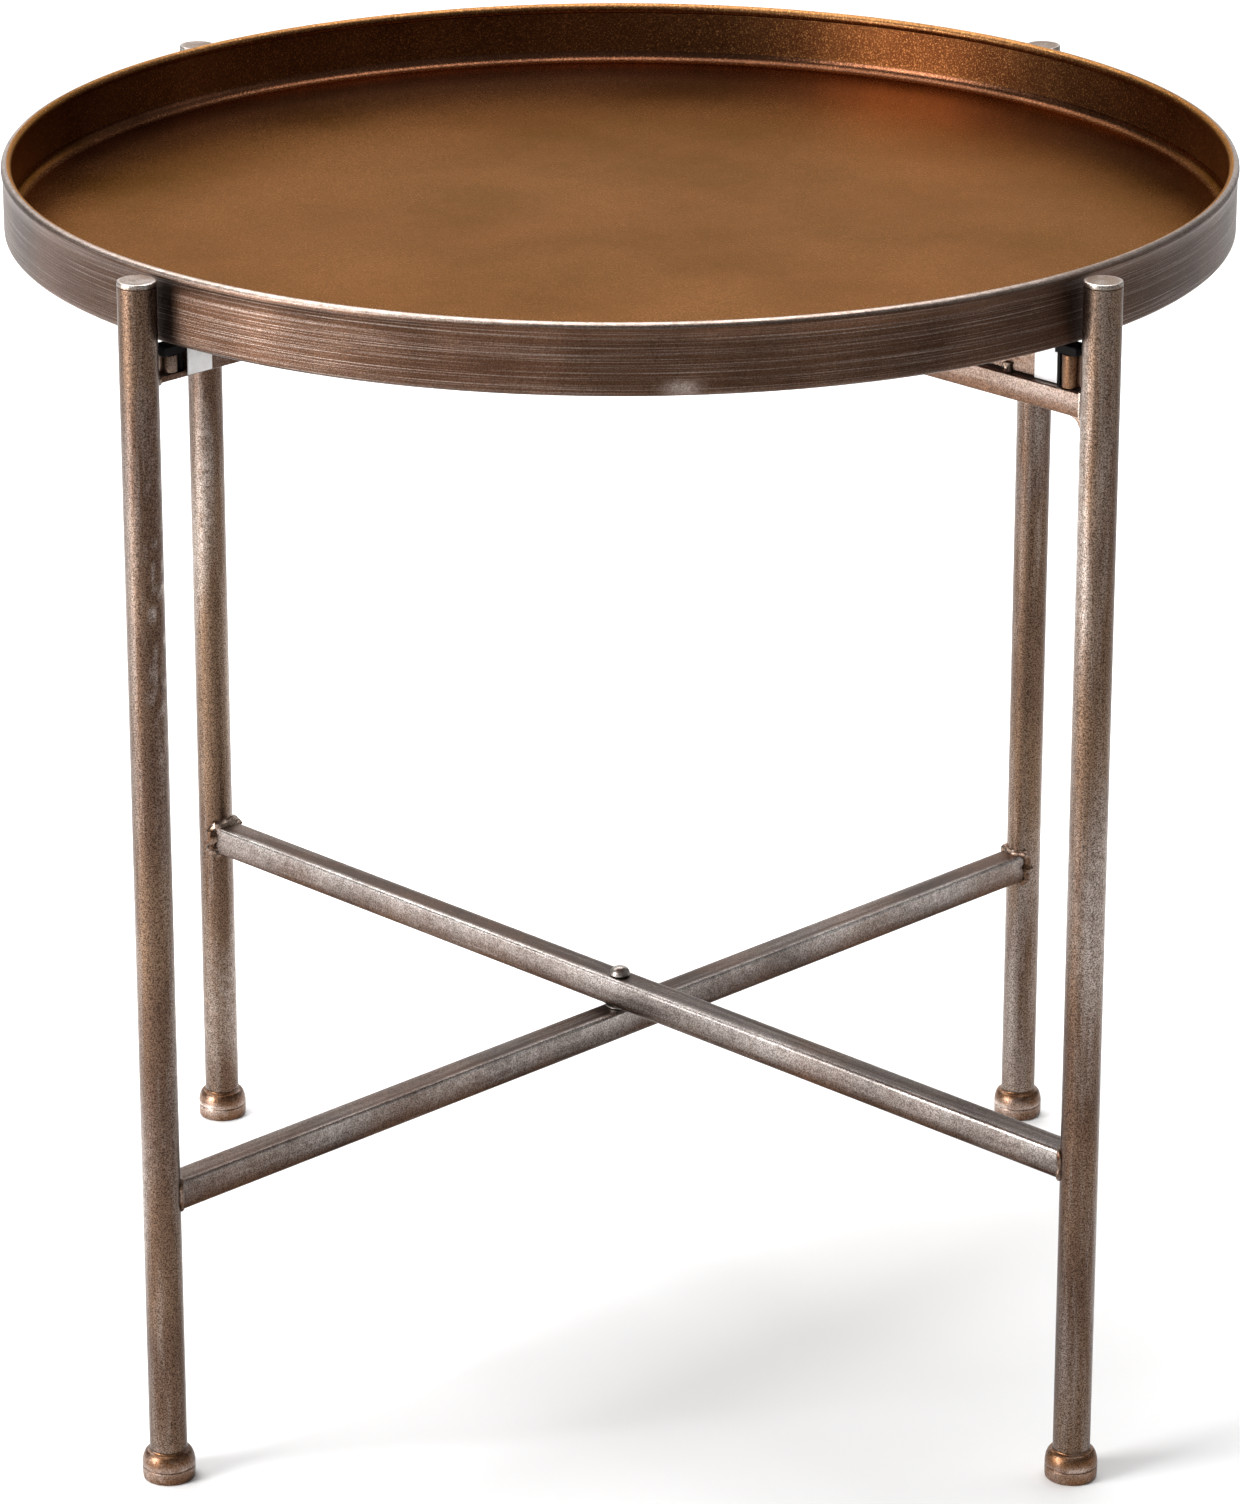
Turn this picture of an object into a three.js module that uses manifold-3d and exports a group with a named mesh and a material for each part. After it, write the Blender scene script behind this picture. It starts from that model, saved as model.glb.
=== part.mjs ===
// A round tray table. A shallow pressed tray lies loose between the tops of four round legs.
// The legs belong to two frames, each a leg at either end of two bars, and the frames cross in
// the middle on riveted pivots, so that the stand folds flat like a pair of scissors.
// Millimetres. +Z is up, and the origin is on the floor under the middle of the table.

import * as THREE from "three";
import { mergeVertices } from "three/addons/utils/BufferGeometryUtils.js";
import Module from "manifold-3d";

// Whole table
const TABLE_HEIGHT = 526;
const TRAY_RADIUS = 260;
const GAP = 0.3; // left between pieces that touch
const CUT_MARGIN = 1; // by which a cutter passes the face that it cuts through

// Tray
const TRAY_DEPTH = 29.6;
const SHEET = 0.8;
const LIP_RADIUS = 2.3;
const LIP_WIRE_RADIUS = 1.2;
const WALL_INSET = 0.6; // from the outside of the lip to the outside of the wall
const WALL_CORNER_RADIUS = 1.6;
const WALL_FLANGE_WIDTH = 13; // turned in under the floor
const LIP_CURL_END = 262; // degrees round the wire, from the outside over the top
const LIP_STEPS = 7; // facets round the rolled lip
const LIP_WIRE_STEPS = 6;
const WALL_CORNER_STEPS = 2;
const FLOOR_SHEET = 1.2;
const FLOOR_EDGE_CHAMFER = 0.8; // clears the wall's inside corner
const TRAY_SEGMENTS = 72;

// Legs
const LEG_RADIUS = 8;
const LEG_WALL = 1.2;
const LEG_TO_TRAY = 0.8;
const LEG_BELOW_RIM = 2.8;
const CAP_THICKNESS = 2;
const CAP_PLUG_LENGTH = 8;
const CAP_CHAMFER = 0.6;
const FOOT_HEIGHT = 13.5;
const FOOT_RADIUS = 11.3;
const FOOT_SHOULDER_START = 7;
const FOOT_BOTTOM_CHAMFER = 0.9;
const FOOT_PLUG_LENGTH = 18;
const FOOT_SHOULDER_STEPS = 3;
const LEG_SEGMENTS = 20;

// Lower bars: square tube. Bar A lies under bar B.
const LOWER_BAR_SIDE = 13;
const LOWER_BAR_WALL = 1.2;
const LOWER_BAR_CORNER = 1.6;
const LOWER_BAR_BOTTOM = 122.4;

// Upper bars: solid flat bar on edge. Bar A lies over bar B, and is cut down to a neck at its ends.
const UPPER_BAR_A_HEIGHT = 15;
const UPPER_BAR_B_HEIGHT = 10.4;
const UPPER_BAR_WIDTH = 8;
const UPPER_BAR_CORNER = 0.8;
const UPPER_BAR_NECK = 2.6;

// Pivots
const LOWER_WASHER_THICKNESS = 0.6;
const UPPER_SPACER_THICKNESS = 3.3;
const LOWER_RIVET_RADIUS = 3;
const LOWER_RIVET_HEAD_RADIUS = 4.6;
const LOWER_RIVET_HEAD_HEIGHT = 3.9;
const LOWER_RIVET_TAIL_HEIGHT = 1;
const LOWER_RIVET_TAIL_END_RADIUS = 3.2;
const UPPER_RIVET_RADIUS = 2;
const UPPER_RIVET_HEAD_RADIUS = 3.9;
const UPPER_RIVET_HEAD_HEIGHT = 1.2;
const UPPER_RIVET_HEAD_FLAT_RADIUS = 3.1;
const UPPER_RIVET_TAIL_HEIGHT = 3;
const RIVET_CLEARANCE = 0.3;
const RIVET_SEGMENTS = 16;
const RIVET_DOME_STEPS = 4;

// At each end of the upper bars, measured along the bar from the leg's centre line: a post with a
// rubber pad over it and down its inner side, then a nylon saddle that carries the tray.
const POST_DISTANCE = 15.2;
const POST_RADIUS = 4;
const PAD_START = 9.6;
const PAD_END = 20.9;
const PAD_WIDTH = 8.6;
const PAD_TO_TRAY = 2.4;
const PAD_TOP_THICKNESS = 3.6;
const PAD_STRIP_THICKNESS = 1.4; // of the part that runs down the inner side of the post
const PAD_STRIP_WIDTH = 4.8;
const PAD_CHAMFER = 0.6;
const NECK_END = 21.2;
const SADDLE_START = 21.4;
const SADDLE_END = 34;
const SADDLE_SKIN = 1.1;
const SADDLE_TOP_SKIN = 1;
const SADDLE_CORNER = 1.2;
const SADDLE_LIFT = 0.9; // of its lower edge over the underside of bar A

// Risers: plates on edge along the ends of upper bar B, which lies lower than bar A
const RISER_START = 24;
const RISER_END = 86;
const RISER_THICKNESS = 3;
const RISER_SIDE_INSET = 0.8; // from the far side of the bar
const RISER_CORNER = 1.5;

// Heights and places worked out from the sizes above
const LEG_CIRCLE = TRAY_RADIUS + LEG_TO_TRAY + LEG_RADIUS;
const LEG_TOP = TABLE_HEIGHT - LEG_BELOW_RIM;
const LEG_BORE = LEG_RADIUS - LEG_WALL;
const TRAY_BOTTOM = TABLE_HEIGHT - TRAY_DEPTH;
const SUPPORT_TOP = TRAY_BOTTOM - GAP;
const LOWER_A_BOTTOM = LOWER_BAR_BOTTOM;
const LOWER_B_BOTTOM = LOWER_A_BOTTOM + LOWER_BAR_SIDE + LOWER_WASHER_THICKNESS + 2 * GAP;
const UPPER_A_TOP = SUPPORT_TOP - SADDLE_TOP_SKIN - GAP;
const UPPER_A_BOTTOM = UPPER_A_TOP - UPPER_BAR_A_HEIGHT;
const UPPER_B_TOP = UPPER_A_BOTTOM - UPPER_SPACER_THICKNESS - 2 * GAP;
const UPPER_B_BOTTOM = UPPER_B_TOP - UPPER_BAR_B_HEIGHT;
const NECK_TOP = UPPER_A_BOTTOM + UPPER_BAR_NECK;
const PAD_TOP = TRAY_BOTTOM - PAD_TO_TRAY;
const POST_TOP = PAD_TOP - PAD_TOP_THICKNESS - GAP;

// Finishes
const agedSteel = new THREE.MeshStandardMaterial({ color: 0x6b5344, roughness: 0.45, metalness: 0.9 });
const burnishedSteel = new THREE.MeshStandardMaterial({ color: 0x6a564b, roughness: 0.38, metalness: 0.95 });
const copperPaint = new THREE.MeshStandardMaterial({ color: 0x906545, roughness: 0.5, metalness: 0.6 });
const bareSteel = new THREE.MeshStandardMaterial({ color: 0x9a938b, roughness: 0.35, metalness: 1 });
const blackRubber = new THREE.MeshStandardMaterial({ color: 0x16120f, roughness: 0.85, metalness: 0 });
const whiteNylon = new THREE.MeshStandardMaterial({ color: 0xe4e3e2, roughness: 0.5, metalness: 0 });

// Joining and cutting of closed geometries
const wasm = await Module();
wasm.setup();

function solidFrom(geometry) {
  const bare = geometry.clone();
  bare.deleteAttribute("normal");
  bare.deleteAttribute("uv");
  const merged = mergeVertices(bare, 1e-4);
  return new wasm.Manifold(
    new wasm.Mesh({
      numProp: 3,
      vertProperties: new Float32Array(merged.attributes.position.array),
      triVerts: new Uint32Array(merged.index.array),
    }),
  );
}

function geometryFrom(solid) {
  const { vertProperties, triVerts } = solid.getMesh();
  const geometry = new THREE.BufferGeometry();
  geometry.setAttribute("position", new THREE.BufferAttribute(vertProperties, 3));
  geometry.setIndex(new THREE.BufferAttribute(triVerts, 1));
  geometry.computeVertexNormals();
  return geometry;
}

function cutFrom(geometry, tools) {
  return geometryFrom(tools.reduce((left, tool) => left.subtract(solidFrom(tool)), solidFrom(geometry)));
}

// Shapes that several pieces share

// A body turned about Z from an outline of [radius, height] points, which runs anticlockwise
// when radius points right and height points up.
function turned(outline, segments) {
  const points = outline.map(([radius, height]) => new THREE.Vector2(radius, height));
  return new THREE.LatheGeometry(points, segments).rotateX(Math.PI / 2);
}

// [radius, height] points along an arc, from one angle to another in degrees.
function arc(centreRadius, centreHeight, radius, from, to, steps) {
  return Array.from({ length: steps + 1 }, (_, i) => {
    const angle = THREE.MathUtils.degToRad(from + ((to - from) * i) / steps);
    return [centreRadius + radius * Math.cos(angle), centreHeight + radius * Math.sin(angle)];
  });
}

function rod(radius, bottom, top, segments) {
  return turned([[0, bottom], [radius, bottom], [radius, top], [0, top]], segments);
}

function ring(inner, outer, bottom, top, segments) {
  return turned([[inner, bottom], [outer, bottom], [outer, top], [inner, top], [inner, bottom]], segments);
}

// A rectangle with rounded corners, centred on the origin of a Shape or a Path.
function roundedRectangle(path, width, height, corner) {
  const x = width / 2;
  const y = height / 2;
  path.moveTo(-x + corner, -y);
  path.lineTo(x - corner, -y);
  path.absarc(x - corner, -y + corner, corner, -Math.PI / 2, 0);
  path.lineTo(x, y - corner);
  path.absarc(x - corner, y - corner, corner, 0, Math.PI / 2);
  path.lineTo(-x + corner, y);
  path.absarc(-x + corner, y - corner, corner, Math.PI / 2, Math.PI);
  path.lineTo(-x, -y + corner);
  path.absarc(-x + corner, -y + corner, corner, Math.PI, (3 * Math.PI) / 2);
  return path;
}

// A bar along X from start to end, its section centred on Y = 0 and standing on bottom.
function barAlongX(section, sectionHeight, start, end, bottom) {
  const options = { depth: end - start, bevelEnabled: false, curveSegments: 2 };
  return new THREE.ExtrudeGeometry(section, options)
    .rotateZ(Math.PI / 2)
    .rotateY(Math.PI / 2)
    .translate(start, 0, bottom + sectionHeight / 2);
}

// Tray

function trayWallGeometry() {
  const outside = TRAY_RADIUS - WALL_INSET;
  const inside = outside - SHEET;
  const flangeEdge = outside - WALL_FLANGE_WIDTH;
  const lipRadius = TRAY_RADIUS - LIP_RADIUS;
  const lipHeight = TABLE_HEIGHT - LIP_RADIUS;
  const lipInner = LIP_RADIUS - SHEET;
  // The sheet leaves the wall on the outside of the lip, goes over the wire and curls in under it.
  const leave = THREE.MathUtils.radToDeg(-Math.acos((outside - lipRadius) / LIP_RADIUS));
  const innerLeave = THREE.MathUtils.radToDeg(-Math.acos((inside - lipRadius) / lipInner));
  const outer = arc(lipRadius, lipHeight, LIP_RADIUS, leave, LIP_CURL_END, LIP_STEPS);
  const inner = arc(lipRadius, lipHeight, lipInner, LIP_CURL_END, innerLeave, LIP_STEPS);
  const cornerRadius = outside - WALL_CORNER_RADIUS;
  const cornerHeight = TRAY_BOTTOM + WALL_CORNER_RADIUS;
  const bottomOutside = arc(cornerRadius, cornerHeight, WALL_CORNER_RADIUS, -90, 0, WALL_CORNER_STEPS);
  const insideCorner = WALL_CORNER_RADIUS - SHEET;
  const bottomInside = arc(cornerRadius, cornerHeight, insideCorner, 0, -90, WALL_CORNER_STEPS);
  const start = [flangeEdge, TRAY_BOTTOM];
  const outline = [
    start, ...bottomOutside, ...outer, ...inner, ...bottomInside, [flangeEdge, TRAY_BOTTOM + SHEET], start,
  ];
  return turned(outline, TRAY_SEGMENTS);
}

function trayFloorGeometry() {
  const bottom = TRAY_BOTTOM + SHEET + GAP;
  const top = bottom + FLOOR_SHEET;
  const edge = TRAY_RADIUS - WALL_INSET - SHEET - GAP;
  return turned(
    [
      [0, bottom],
      [edge - FLOOR_EDGE_CHAMFER, bottom],
      [edge, bottom + FLOOR_EDGE_CHAMFER],
      [edge, top],
      [0, top],
    ],
    TRAY_SEGMENTS,
  );
}

function lipWireGeometry() {
  const lipRadius = TRAY_RADIUS - LIP_RADIUS;
  const lipHeight = TABLE_HEIGHT - LIP_RADIUS;
  return turned(arc(lipRadius, lipHeight, LIP_WIRE_RADIUS, 0, 360, LIP_WIRE_STEPS), TRAY_SEGMENTS);
}

// Legs, caps and feet, each centred on its own axis

function legGeometry() {
  return ring(LEG_BORE, LEG_RADIUS, FOOT_HEIGHT + GAP, LEG_TOP - CAP_THICKNESS - GAP, LEG_SEGMENTS);
}

function capGeometry() {
  const plug = LEG_BORE - GAP;
  const underside = LEG_TOP - CAP_THICKNESS;
  return turned(
    [
      [0, underside - CAP_PLUG_LENGTH],
      [plug, underside - CAP_PLUG_LENGTH],
      [plug, underside],
      [LEG_RADIUS, underside],
      [LEG_RADIUS, LEG_TOP - CAP_CHAMFER],
      [LEG_RADIUS - CAP_CHAMFER, LEG_TOP],
      [0, LEG_TOP],
    ],
    LEG_SEGMENTS,
  );
}

function footGeometry() {
  const plug = LEG_BORE - GAP;
  const flare = FOOT_RADIUS - LEG_RADIUS;
  const rise = FOOT_HEIGHT - FOOT_SHOULDER_START;
  const shoulder = arc(0, 0, 1, 0, 90, FOOT_SHOULDER_STEPS).map(([x, y]) => [
    LEG_RADIUS + flare * x,
    FOOT_SHOULDER_START + rise * y,
  ]);
  return turned(
    [
      [0, 0],
      [FOOT_RADIUS - FOOT_BOTTOM_CHAMFER, 0],
      [FOOT_RADIUS, FOOT_BOTTOM_CHAMFER],
      ...shoulder,
      [plug, FOOT_HEIGHT],
      [plug, FOOT_HEIGHT + FOOT_PLUG_LENGTH],
      [0, FOOT_HEIGHT + FOOT_PLUG_LENGTH],
    ],
    LEG_SEGMENTS,
  );
}

// Bars, each along X with its ends hollowed to fit round the legs

function legCutters(bottom, top) {
  return [-LEG_CIRCLE, LEG_CIRCLE].map((x) =>
    rod(LEG_RADIUS + GAP, bottom - CUT_MARGIN, top + CUT_MARGIN, LEG_SEGMENTS).translate(x, 0, 0),
  );
}

function pivotCutter(rivetRadius, bottom, top) {
  return rod(rivetRadius + RIVET_CLEARANCE, bottom - CUT_MARGIN, top + CUT_MARGIN, RIVET_SEGMENTS);
}

function lowerBarGeometry(bottom) {
  const inside = LOWER_BAR_SIDE - 2 * LOWER_BAR_WALL;
  const section = roundedRectangle(new THREE.Shape(), LOWER_BAR_SIDE, LOWER_BAR_SIDE, LOWER_BAR_CORNER);
  section.holes.push(roundedRectangle(new THREE.Path(), inside, inside, LOWER_BAR_CORNER - LOWER_BAR_WALL));
  const top = bottom + LOWER_BAR_SIDE;
  const bar = barAlongX(section, LOWER_BAR_SIDE, -LEG_CIRCLE, LEG_CIRCLE, bottom);
  return cutFrom(bar, [pivotCutter(LOWER_RIVET_RADIUS, bottom, top), ...legCutters(bottom, top)]);
}

function upperBarGeometry(bottom, height, extraCutters) {
  const section = roundedRectangle(new THREE.Shape(), UPPER_BAR_WIDTH, height, UPPER_BAR_CORNER);
  const top = bottom + height;
  const bar = barAlongX(section, height, -LEG_CIRCLE, LEG_CIRCLE, bottom);
  const pivot = pivotCutter(UPPER_RIVET_RADIUS, bottom, top);
  return cutFrom(bar, [pivot, ...legCutters(bottom, top), ...extraCutters]);
}

// Cuts both ends of bar A down to the neck that the posts stand on.
function neckCutters() {
  const length = NECK_END + CUT_MARGIN;
  const height = UPPER_A_TOP - NECK_TOP + CUT_MARGIN;
  const middle = LEG_CIRCLE - NECK_END + length / 2;
  return [-middle, middle].map((x) =>
    new THREE.BoxGeometry(length, UPPER_BAR_WIDTH + 2 * CUT_MARGIN, height)
      .translate(x, 0, NECK_TOP + height / 2),
  );
}

// Pivots on the Z axis

function lowerRivetGeometry() {
  const underHead = LOWER_B_BOTTOM + LOWER_BAR_SIDE + GAP;
  const overTail = LOWER_A_BOTTOM - GAP;
  const dome = arc(0, 0, 1, 0, 90, RIVET_DOME_STEPS).map(([x, y]) => [
    LOWER_RIVET_HEAD_RADIUS * x,
    underHead + LOWER_RIVET_HEAD_HEIGHT * y,
  ]);
  return turned(
    [
      [0, overTail - LOWER_RIVET_TAIL_HEIGHT],
      [LOWER_RIVET_TAIL_END_RADIUS, overTail - LOWER_RIVET_TAIL_HEIGHT],
      [LOWER_RIVET_HEAD_RADIUS, overTail],
      [LOWER_RIVET_RADIUS, overTail],
      [LOWER_RIVET_RADIUS, underHead],
      ...dome,
    ],
    RIVET_SEGMENTS,
  );
}

function upperRivetGeometry() {
  const underHead = UPPER_A_TOP + GAP;
  const overTail = UPPER_B_BOTTOM - GAP;
  const dome = arc(0, 0, 1, -90, 0, RIVET_DOME_STEPS).map(([x, y]) => [
    UPPER_RIVET_HEAD_RADIUS * x,
    overTail + UPPER_RIVET_TAIL_HEIGHT * y,
  ]);
  return turned(
    [
      ...dome,
      [UPPER_RIVET_RADIUS, overTail],
      [UPPER_RIVET_RADIUS, underHead],
      [UPPER_RIVET_HEAD_RADIUS, underHead],
      [UPPER_RIVET_HEAD_RADIUS, underHead + UPPER_RIVET_HEAD_HEIGHT / 2],
      [UPPER_RIVET_HEAD_FLAT_RADIUS, underHead + UPPER_RIVET_HEAD_HEIGHT],
      [0, underHead + UPPER_RIVET_HEAD_HEIGHT],
    ],
    RIVET_SEGMENTS,
  );
}

function washerGeometry(rivetRadius, radius, bottom, thickness) {
  return ring(rivetRadius + RIVET_CLEARANCE, radius, bottom, bottom + thickness, RIVET_SEGMENTS);
}

// Supports, made for the end of a bar at +X. seat is the height that they stand on.

function postGeometry(seat) {
  return rod(POST_RADIUS, seat + GAP, POST_TOP, RIVET_SEGMENTS)
    .translate(LEG_CIRCLE - POST_DISTANCE, 0, 0);
}

// A block across the bar from its outline in the bar's own plane, of [along, height] points.
function blockAcross(outline, width) {
  const face = new THREE.Shape(outline.map(([along, height]) => new THREE.Vector2(along, height)));
  return new THREE.ExtrudeGeometry(face, { depth: width, bevelEnabled: false })
    .rotateX(Math.PI / 2)
    .translate(0, width / 2, 0);
}

function padGeometry(seat) {
  const outer = LEG_CIRCLE - PAD_START;
  const inner = LEG_CIRCLE - PAD_END;
  const strip = inner + PAD_STRIP_THICKNESS;
  const underside = PAD_TOP - PAD_TOP_THICKNESS;
  const outline = [
    [inner, seat + GAP],
    [strip, seat + GAP],
    [strip, underside],
    [outer, underside],
    [outer, PAD_TOP - PAD_CHAMFER],
    [outer - PAD_CHAMFER, PAD_TOP],
    [inner + PAD_CHAMFER, PAD_TOP],
    [inner, PAD_TOP - PAD_CHAMFER],
  ];
  const length = PAD_STRIP_THICKNESS + 2 * CUT_MARGIN;
  const height = underside - seat;
  const besideStrip = [-PAD_WIDTH, PAD_WIDTH].map((side) =>
    new THREE.BoxGeometry(length, 2 * PAD_WIDTH - PAD_STRIP_WIDTH, height)
      .translate(inner + PAD_STRIP_THICKNESS / 2, side, seat + height / 2),
  );
  return cutFrom(blockAcross(outline, PAD_WIDTH), besideStrip);
}

// An upside-down U pushed down over a plate, whose middle is off the bar by the distance given.
function saddleGeometry(thickness, middle, bottom) {
  const innerWidth = thickness + 2 * GAP;
  const width = innerWidth + 2 * SADDLE_SKIN;
  const height = SUPPORT_TOP - bottom;
  const start = LEG_CIRCLE - SADDLE_END;
  const end = LEG_CIRCLE - SADDLE_START;
  const section = roundedRectangle(new THREE.Shape(), width, height, SADDLE_CORNER);
  const slotHeight = height - SADDLE_TOP_SKIN + CUT_MARGIN;
  const slot = new THREE.BoxGeometry(SADDLE_END - SADDLE_START + 2 * CUT_MARGIN, innerWidth, slotHeight)
    .translate((start + end) / 2, 0, bottom - CUT_MARGIN + slotHeight / 2);
  return cutFrom(barAlongX(section, height, start, end, bottom), [slot]).translate(0, middle, 0);
}

const RISER_MIDDLE = UPPER_BAR_WIDTH / 2 - RISER_SIDE_INSET - RISER_THICKNESS / 2;

function riserGeometry() {
  const bottom = UPPER_B_TOP + GAP;
  const near = LEG_CIRCLE - RISER_START;
  const far = LEG_CIRCLE - RISER_END;
  const outline = [
    [far, bottom],
    [near, bottom],
    [near, UPPER_A_TOP],
    [far + RISER_CORNER, UPPER_A_TOP],
    [far, UPPER_A_TOP - RISER_CORNER],
  ];
  return blockAcross(outline, RISER_THICKNESS).translate(0, RISER_MIDDLE, 0);
}

// Assembly

function piece(name, geometry, material) {
  const mesh = new THREE.Mesh(geometry, material);
  mesh.name = name;
  return mesh;
}

// A group whose +X end is the one named, so that both ends of a frame take the same pieces.
function frameEnd(angle, pieces) {
  const end = new THREE.Group();
  end.rotation.z = THREE.MathUtils.degToRad(angle);
  end.add(...pieces);
  return end;
}

function legPieces(corner) {
  const pieces = [
    piece(`leg_${corner}`, legGeometry(), agedSteel),
    piece(`leg_cap_${corner}`, capGeometry(), agedSteel),
    piece(`foot_${corner}`, footGeometry(), agedSteel),
  ];
  pieces.forEach((mesh) => mesh.position.setX(LEG_CIRCLE));
  return pieces;
}

function supportPieces(corner, seat, saddle) {
  return [
    piece(`pad_post_${corner}`, postGeometry(seat), agedSteel),
    piece(`rubber_pad_${corner}`, padGeometry(seat), blackRubber),
    piece(`nylon_saddle_${corner}`, saddle, whiteNylon),
  ];
}

function supportPiecesA(corner) {
  const saddle = saddleGeometry(UPPER_BAR_WIDTH, 0, UPPER_A_BOTTOM + SADDLE_LIFT);
  return supportPieces(corner, NECK_TOP, saddle);
}

function supportPiecesB(corner) {
  const saddle = saddleGeometry(RISER_THICKNESS, RISER_MIDDLE, UPPER_B_TOP + GAP);
  const riser = piece(`riser_${corner}`, riserGeometry(), agedSteel);
  return [...supportPieces(corner, UPPER_B_TOP, saddle), riser];
}

const tray = new THREE.Group();
tray.add(
  piece("tray_wall", trayWallGeometry(), burnishedSteel),
  piece("tray_floor", trayFloorGeometry(), copperPaint),
  piece("tray_lip_wire", lipWireGeometry(), bareSteel),
);

const lowerWasher = washerGeometry(
  LOWER_RIVET_RADIUS, LOWER_BAR_SIDE / 2, LOWER_A_BOTTOM + LOWER_BAR_SIDE + GAP, LOWER_WASHER_THICKNESS,
);
const upperSpacer = washerGeometry(
  UPPER_RIVET_RADIUS, UPPER_BAR_WIDTH / 2, UPPER_B_TOP + GAP, UPPER_SPACER_THICKNESS,
);

const FRAME_A_ANGLE = 45; // from the front left leg to the back right leg
const frameA = new THREE.Group();
frameA.add(
  frameEnd(FRAME_A_ANGLE, [
    piece("lower_bar_a", lowerBarGeometry(LOWER_A_BOTTOM), agedSteel),
    piece("upper_bar_a", upperBarGeometry(UPPER_A_BOTTOM, UPPER_BAR_A_HEIGHT, neckCutters()), agedSteel),
    ...legPieces("back_right"),
    ...supportPiecesA("back_right"),
  ]),
  frameEnd(FRAME_A_ANGLE + 180, [...legPieces("front_left"), ...supportPiecesA("front_left")]),
  piece("lower_rivet", lowerRivetGeometry(), bareSteel),
  piece("lower_washer", lowerWasher, bareSteel),
  piece("upper_rivet", upperRivetGeometry(), bareSteel),
  piece("upper_spacer", upperSpacer, bareSteel),
);

const FRAME_B_ANGLE = -45; // from the back left leg to the front right leg
const frameB = new THREE.Group();
frameB.add(
  frameEnd(FRAME_B_ANGLE, [
    piece("lower_bar_b", lowerBarGeometry(LOWER_B_BOTTOM), agedSteel),
    piece("upper_bar_b", upperBarGeometry(UPPER_B_BOTTOM, UPPER_BAR_B_HEIGHT, []), agedSteel),
    ...legPieces("front_right"),
    ...supportPiecesB("front_right"),
  ]),
  frameEnd(FRAME_B_ANGLE + 180, [...legPieces("back_left"), ...supportPiecesB("back_left")]),
);

const table = new THREE.Group();
table.add(tray, frameA, frameB);

export default table;
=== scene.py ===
import math

import bmesh
import bpy
from mathutils import Matrix, Vector, noise


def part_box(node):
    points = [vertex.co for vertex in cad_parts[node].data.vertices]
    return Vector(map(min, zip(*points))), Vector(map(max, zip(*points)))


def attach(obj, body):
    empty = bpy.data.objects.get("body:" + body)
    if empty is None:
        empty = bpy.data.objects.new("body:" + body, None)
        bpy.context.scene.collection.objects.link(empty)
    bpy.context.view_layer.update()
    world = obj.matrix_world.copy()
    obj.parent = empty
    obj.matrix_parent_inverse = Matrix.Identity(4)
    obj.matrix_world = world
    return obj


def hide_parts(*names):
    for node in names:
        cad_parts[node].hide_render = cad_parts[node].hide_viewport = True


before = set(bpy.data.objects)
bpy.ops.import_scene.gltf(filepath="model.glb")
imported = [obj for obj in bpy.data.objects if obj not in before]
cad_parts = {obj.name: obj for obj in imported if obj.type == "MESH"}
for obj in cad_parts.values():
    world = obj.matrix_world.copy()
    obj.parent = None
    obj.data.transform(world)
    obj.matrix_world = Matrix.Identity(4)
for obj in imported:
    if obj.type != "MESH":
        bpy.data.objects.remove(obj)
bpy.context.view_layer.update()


# Tray wall
# A hoop of thin sheet steel, rolled over a wire at the top and turned in at the bottom to carry
# the floor. Brushed and lacquered dark outside, painted copper inside, with the lip rubbed bright
# and its crown made lighter still as a painted highlight.

ON_AXIS = 1e-7


def turned(outline, segments, closed=False):
    """Vertices and faces of a body turned about Z from (radius, height) points."""
    vertices = []
    rings = []
    for radius, height in outline:
        start = len(vertices)
        if radius < ON_AXIS:
            rings.append([start] * segments)
            vertices.append(Vector((0, 0, height)))
            continue
        rings.append(list(range(start, start + segments)))
        for step in range(segments):
            angle = math.tau * step / segments
            vertices.append(Vector((radius * math.cos(angle), radius * math.sin(angle), height)))
    faces = []
    following = rings[1:] + rings[:1] if closed else rings[1:]
    for lower, upper in zip(rings, following):
        for here in range(segments):
            after = (here + 1) % segments
            corners = [lower[here], lower[after], upper[after], upper[here]]
            corners = list(dict.fromkeys(corners))
            if len(corners) > 2:
                faces.append(corners)
    return vertices, faces


def arc(radius, height, size, start, end, steps):
    """(radius, height) points along an arc, from one angle to another in degrees."""
    points = []
    for step in range(steps + 1):
        angle = math.radians(start + (end - start) * step / steps)
        points.append((radius + size * math.cos(angle), height + size * math.sin(angle)))
    return points


def make_piece(name, shape, finish, body, stands_for=(), crease=35):
    """One smooth-shaded piece of the object that rides on a body."""
    vertices, faces = shape
    mesh = bpy.data.meshes.new(name)
    mesh.from_pydata([tuple(point) for point in vertices], [], faces)
    mesh.shade_smooth()
    mesh.set_sharp_from_angle(angle=math.radians(crease))
    mesh.materials.append(finish)
    piece = bpy.data.objects.new(name, mesh)
    bpy.context.scene.collection.objects.link(piece)
    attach(piece, body)
    if stands_for:
        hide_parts(*stands_for)
    return piece


def rub(piece, worn):
    """Notes at each point of a piece, from 0 to 1, its rubbed wear, and on the lip's crown and the floor's
    fillet also its painted highlight.
    """
    marks = piece.data.attributes.new("rubbed", "FLOAT", "POINT")
    for vertex, mark in zip(piece.data.vertices, marks.data):
        mark.value = max(0.0, min(1.0, worn(vertex.co)))


def fade(value, start, end):
    """0 before start, 1 after end and smooth between them."""
    share = max(0.0, min(1.0, (value - start) / (end - start)))
    return share * share * (3 - 2 * share)


def paint(red, green, blue):
    """A colour given in the 0 to 255 steps of a paint chart."""
    channels = []
    for value in (red / 255, green / 255, blue / 255):
        channels.append(value / 12.92 if value <= 0.04045 else ((value + 0.055) / 1.055) ** 2.4)
    return (*channels, 1.0)


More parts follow.
